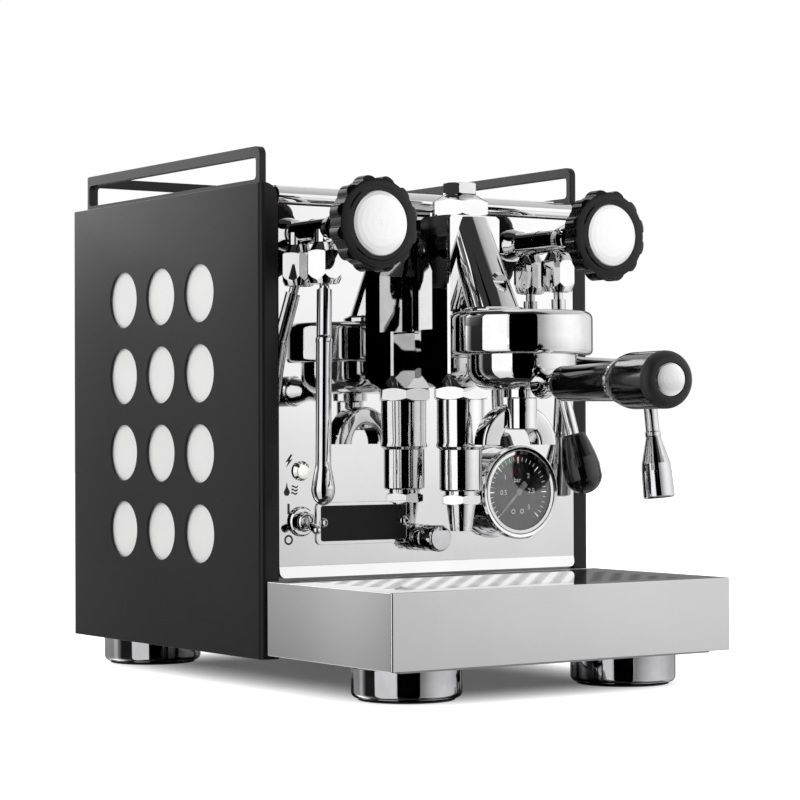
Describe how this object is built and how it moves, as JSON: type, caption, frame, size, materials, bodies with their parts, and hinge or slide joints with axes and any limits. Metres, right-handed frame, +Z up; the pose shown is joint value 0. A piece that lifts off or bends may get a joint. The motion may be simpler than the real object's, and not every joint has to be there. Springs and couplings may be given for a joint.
{
  "type": "espresso machine",
  "caption": "Compact heat-exchanger espresso machine with a lever-operated exposed brewing group, portafilter, steam and hot-water wands, drip tray and cup rail.",
  "frame": {"origin": "on the worktop, on the machine's middle plane, half-way between the drip tray's front and the back of the side panels", "axes": "+Z up, -Y out of the machine's front, +X to the right as seen from the front"},
  "size_m": [0.3014, 0.5671, 0.36],
  "materials": {
    "black_powder_coat": "fine satin black powder coat",
    "white_enamel_sheet": "smooth white paint",
    "mirror_stainless": "mirror polished",
    "satin_stainless": "fine satin grain",
    "zinc_plated_sheet": "zinc plated",
    "chromed_brass": "mirror chrome",
    "polished_stainless": "polished",
    "black_rubber": "matt",
    "black_bakelite": "polished",
    "matt_black_plastic": "fine matt",
    "satin_aluminium": "turned, satin",
    "white_ptfe": "waxy",
    "gauge_glass": "clear",
    "needle_enamel": "matt paint",
    "boiler_copper": "rolled copper",
    "pump_steel": "plated, part plastic",
    "tank_plastic": "translucent",
    "lamp_chrome": "chromed bezel with a white lens"
  },
  "bodies": {
    "chassis": {"side_panel_left": "black_powder_coat", "side_panel_right": "black_powder_coat", "side_inlays": "white_enamel_sheet", "front_panel": "mirror_stainless", "rear_panel": "satin_stainless", "base_pan": "zinc_plated_sheet", "top_frame": "mirror_stainless", "cup_rail_left": "black_powder_coat", "cup_rail_right": "black_powder_coat", "cup_rail_rear": "black_powder_coat", "foot_cups": "polished_stainless", "foot_pads": "black_rubber", "group_body": "chromed_brass", "group_bell": "chromed_brass", "mushroom_cap": "chromed_brass", "jet_plug": "chromed_brass", "ring_nut": "chromed_brass", "discharge_tube": "chromed_brass", "discharge_nozzle": "chromed_brass", "shower_screen": "polished_stainless", "group_gasket": "black_rubber", "lever_gland": "chromed_brass", "steam_valve": "chromed_brass", "water_valve": "chromed_brass", "steam_ball_nut": "chromed_brass", "water_ball_nut": "chromed_brass", "toggle_bushing": "chromed_brass", "lamp_bezel": "lamp_chrome", "gauge_case": "chromed_brass", "gauge_glass": "gauge_glass", "boiler": "boiler_copper", "pump": "pump_steel"},
    "drip_tray": {"drip_tray": "satin_stainless"},
    "drip_grate": {"drip_grate": "satin_stainless"},
    "portafilter": {"portafilter_head": "chromed_brass", "filter_basket": "polished_stainless", "spout": "chromed_brass", "handle_core": "chromed_brass", "handle_grip": "black_bakelite", "handle_end": "matt_black_plastic", "handle_disc": "satin_aluminium"},
    "brew_lever": {"lever_arm": "chromed_brass", "lever_knob": "black_bakelite"},
    "steam_spindle": {"steam_stem": "polished_stainless"},
    "steam_knob": {"steam_knob": "black_bakelite", "steam_knob_disc": "satin_aluminium"},
    "water_spindle": {"water_stem": "polished_stainless"},
    "water_knob": {"water_knob": "black_bakelite", "water_knob_disc": "satin_aluminium"},
    "steam_swivel": {"steam_ball_seat": "white_ptfe"},
    "steam_wand": {"steam_wand": "polished_stainless", "steam_tip": "polished_stainless"},
    "water_swivel": {"water_ball_seat": "white_ptfe"},
    "water_wand": {"water_wand": "polished_stainless", "water_nozzle": "polished_stainless"},
    "toggle_bat": {"toggle_bat": "chromed_brass"},
    "gauge_needle": {"gauge_needle": "needle_enamel"},
    "thumb_screw": {"thumb_screw": "polished_stainless"},
    "water_tank": {"water_tank": "tank_plastic"},
    "cup_tray": {"cup_tray": "satin_stainless"}
  },
  "joints": [
    {"name": "drip_tray_slide", "type": "slide", "parent": "chassis", "child": "drip_tray", "axis": [0, -1, 0], "range_m": [0, 0.15]},
    {"name": "drip_grate_lift", "type": "slide", "parent": "drip_tray", "child": "drip_grate", "axis": [0, 0, 1], "range_m": [0, 0.015]},
    {"name": "portafilter_turn", "type": "hinge", "parent": "chassis", "child": "portafilter", "pos_m": [0, -0.1635, 0.2196], "axis": [0, 0, 1], "range_deg": [-45, 10]},
    {"name": "brew_lever_turn", "type": "hinge", "parent": "chassis", "child": "brew_lever", "pos_m": [0.08, -0.0945, 0.222], "axis": [-1, 0, 0], "range_deg": [0, 75]},
    {"name": "steam_spindle_travel", "type": "slide", "parent": "chassis", "child": "steam_spindle", "axis": [0, -1, 0], "range_m": [0, 0.00305]},
    {"name": "steam_knob_turn", "type": "hinge", "parent": "steam_spindle", "child": "steam_knob", "pos_m": [-0.0952, -0.132, 0.3038], "axis": [0, -1, 0], "range_deg": [0, 540]},
    {"name": "water_spindle_travel", "type": "slide", "parent": "chassis", "child": "water_spindle", "axis": [0, -1, 0], "range_m": [0, 0.00305]},
    {"name": "water_knob_turn", "type": "hinge", "parent": "water_spindle", "child": "water_knob", "pos_m": [0.0952, -0.132, 0.3038], "axis": [0, -1, 0], "range_deg": [0, 540]},
    {"name": "steam_wand_swing", "type": "hinge", "parent": "chassis", "child": "steam_swivel", "pos_m": [-0.0975, -0.0765, 0.2778], "axis": [0, 0, 1], "range_deg": [-50, 100]},
    {"name": "steam_wand_tilt", "type": "hinge", "parent": "steam_swivel", "child": "steam_wand", "pos_m": [-0.0975, -0.0765, 0.2778], "axis": [-0.8279, 0.5609, 0], "range_deg": [-8, 6]},
    {"name": "water_wand_swing", "type": "hinge", "parent": "chassis", "child": "water_swivel", "pos_m": [0.0975, -0.0765, 0.2778], "axis": [0, 0, 1], "range_deg": [-60, 30]},
    {"name": "water_wand_tilt", "type": "hinge", "parent": "water_swivel", "child": "water_wand", "pos_m": [0.0975, -0.0765, 0.2778], "axis": [-0.5512, -0.8344, 0], "range_deg": [-5, 12]},
    {"name": "toggle_throw", "type": "hinge", "parent": "chassis", "child": "toggle_bat", "pos_m": [-0.1065, -0.0645, 0.1104], "axis": [-1, 0, 0], "range_deg": [0, 36]},
    {"name": "gauge_needle_turn", "type": "hinge", "parent": "chassis", "child": "gauge_needle", "pos_m": [0.0622, -0.0745, 0.1274], "axis": [0, 1, 0], "range_deg": [0, 270], "stiffness_Nm_per_rad": 0.0005},
    {"name": "thumb_screw_turn", "type": "hinge", "parent": "chassis", "child": "thumb_screw", "pos_m": [-0.0093, -0.0745, 0.0974], "axis": [0, -1, 0], "range_deg": [0, 360]},
    {"name": "water_tank_lift", "type": "slide", "parent": "chassis", "child": "water_tank", "axis": [0, 0, 1], "range_m": [0, 0.215]},
    {"name": "cup_tray_lift", "type": "slide", "parent": "water_tank", "child": "cup_tray", "axis": [0, 0, 1], "range_m": [0, 0.06]}
  ],
  "couplings": [
    {"joint": "steam_spindle_travel", "follows": "steam_knob_turn", "m_per_rad": 0.00031831},
    {"joint": "water_spindle_travel", "follows": "water_knob_turn", "m_per_rad": 0.00031831}
  ]
}
